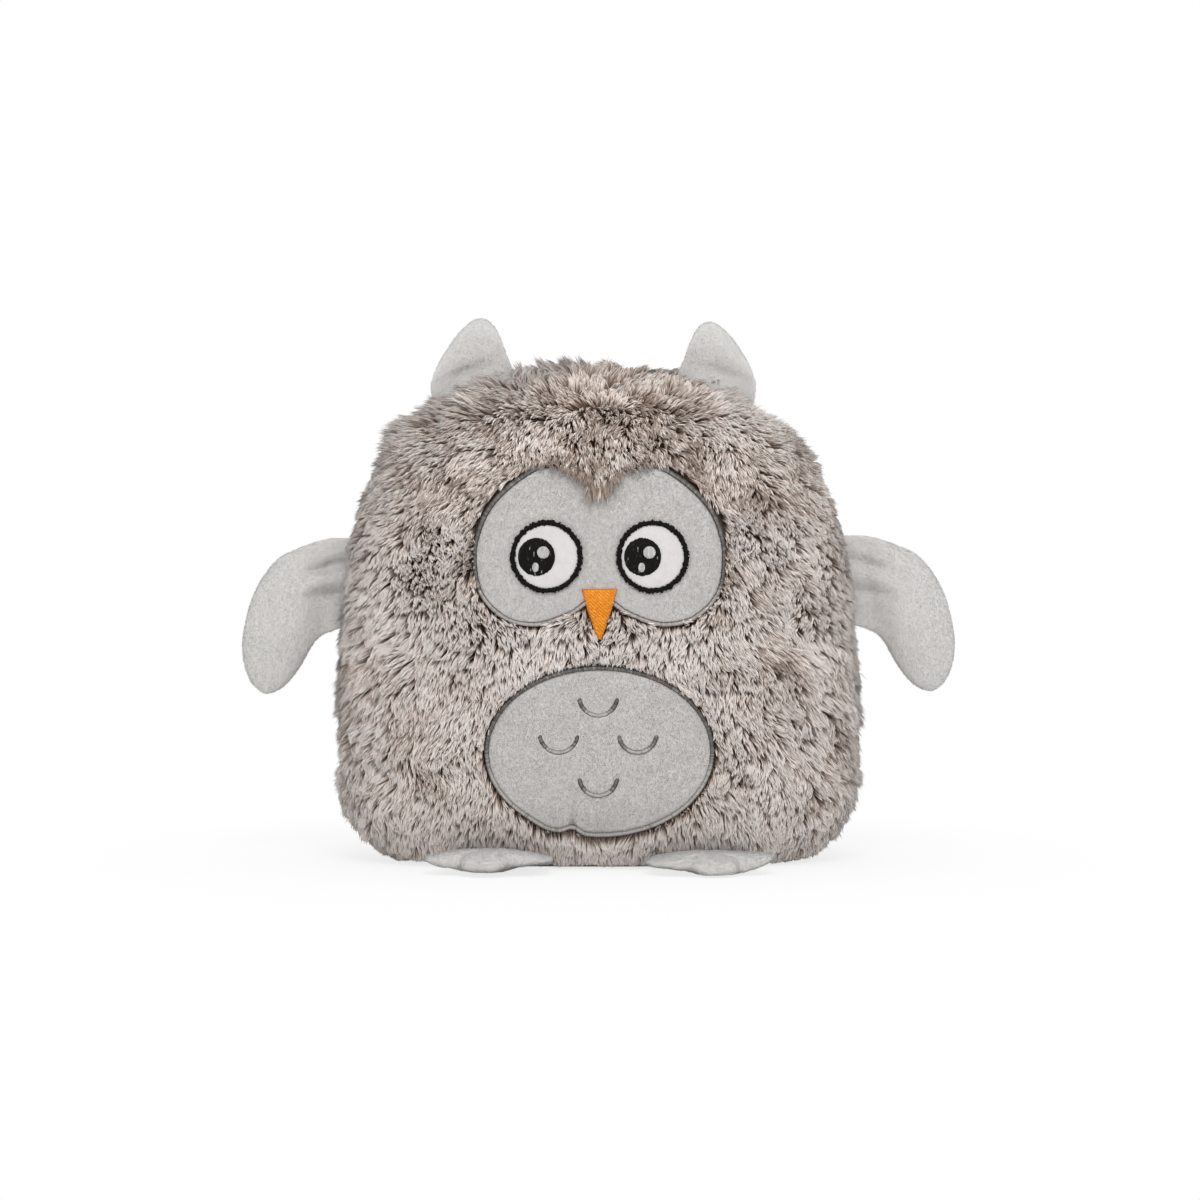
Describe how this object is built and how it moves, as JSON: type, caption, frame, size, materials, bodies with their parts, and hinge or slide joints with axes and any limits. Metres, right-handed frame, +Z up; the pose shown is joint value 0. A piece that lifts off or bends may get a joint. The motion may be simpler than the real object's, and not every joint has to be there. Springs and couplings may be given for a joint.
{
  "type": "plush owl",
  "caption": "Stuffed toy owl with a long-pile body, short-pile face and belly patches, stitched eyes and beak, and wings, ears and feet that fold at their seams.",
  "frame": {"origin": "middle of the flat base, on the surface that the owl stands on", "axes": "-Y is the way the owl faces, +X is to the right as seen from the front, +Z is up"},
  "size_m": [0.2806, 0.1298, 0.2121],
  "materials": {
    "long_pile_fur": "long frosted taupe pile, light tips over dark roots",
    "short_plush": "short light grey plush",
    "white_felt": "matt white felt",
    "black_thread": "satin black embroidery",
    "silver_thread": "satin silver-grey embroidery",
    "grey_thread": "satin grey embroidery",
    "orange_thread": "satin orange embroidery",
    "fibre_fill": "loose white polyester fibre"
  },
  "bodies": {
    "torso": {"front_fur_panel": "long_pile_fur", "back_fur_panel": "long_pile_fur", "base_panel": "short_plush", "body_stuffing": "fibre_fill", "face_patch": "short_plush", "belly_patch": "short_plush", "face_edge_stitching": "grey_thread", "belly_edge_stitching": "grey_thread", "beak": "orange_thread", "left_eye_felt": "white_felt", "left_eye_ring": "black_thread", "left_pupil": "black_thread", "left_big_glint": "silver_thread", "left_small_glint": "silver_thread", "right_eye_felt": "white_felt", "right_eye_ring": "black_thread", "right_pupil": "black_thread", "right_big_glint": "silver_thread", "right_small_glint": "silver_thread", "high_feather_mark": "grey_thread", "left_feather_mark": "grey_thread", "right_feather_mark": "grey_thread", "low_feather_mark": "grey_thread"},
    "left_wing": {"left_wing_front_panel": "short_plush", "left_wing_back_panel": "short_plush", "left_wing_wadding": "fibre_fill"},
    "right_wing": {"right_wing_front_panel": "short_plush", "right_wing_back_panel": "short_plush", "right_wing_wadding": "fibre_fill"},
    "left_ear": {"left_ear_front_panel": "short_plush", "left_ear_back_panel": "short_plush"},
    "right_ear": {"right_ear_front_panel": "short_plush", "right_ear_back_panel": "short_plush"},
    "left_foot": {"left_foot_sole_panel": "short_plush", "left_foot_top_panel": "short_plush", "left_foot_wadding": "fibre_fill"},
    "right_foot": {"right_foot_sole_panel": "short_plush", "right_foot_top_panel": "short_plush", "right_foot_wadding": "fibre_fill"}
  },
  "joints": [
    {"name": "left_wing_fold", "type": "hinge", "parent": "torso", "child": "left_wing", "pos_m": [-0.10086, 0, 0.11], "axis": [-0.1005, 0, -0.9949], "range_deg": [-60, 60], "stiffness_Nm_per_rad": 0.02},
    {"name": "right_wing_fold", "type": "hinge", "parent": "torso", "child": "right_wing", "pos_m": [0.10086, 0, 0.11], "axis": [-0.1005, 0, 0.9949], "range_deg": [-60, 60], "stiffness_Nm_per_rad": 0.02},
    {"name": "left_ear_fold", "type": "hinge", "parent": "torso", "child": "left_ear", "pos_m": [-0.04923, 0, 0.18721], "axis": [0.9262, 0, 0.3769], "range_deg": [-60, 60], "stiffness_Nm_per_rad": 0.006},
    {"name": "right_ear_fold", "type": "hinge", "parent": "torso", "child": "right_ear", "pos_m": [0.04923, 0, 0.18721], "axis": [0.9262, 0, -0.3769], "range_deg": [-60, 60], "stiffness_Nm_per_rad": 0.006},
    {"name": "left_foot_fold", "type": "hinge", "parent": "torso", "child": "left_foot", "pos_m": [-0.039, -0.04215, 0.00265], "axis": [-0.9823, 0.1872, 0], "range_deg": [-60, 30], "stiffness_Nm_per_rad": 0.02},
    {"name": "right_foot_fold", "type": "hinge", "parent": "torso", "child": "right_foot", "pos_m": [0.039, -0.04215, 0.00265], "axis": [-0.9823, -0.1872, 0], "range_deg": [-60, 30], "stiffness_Nm_per_rad": 0.02}
  ]
}
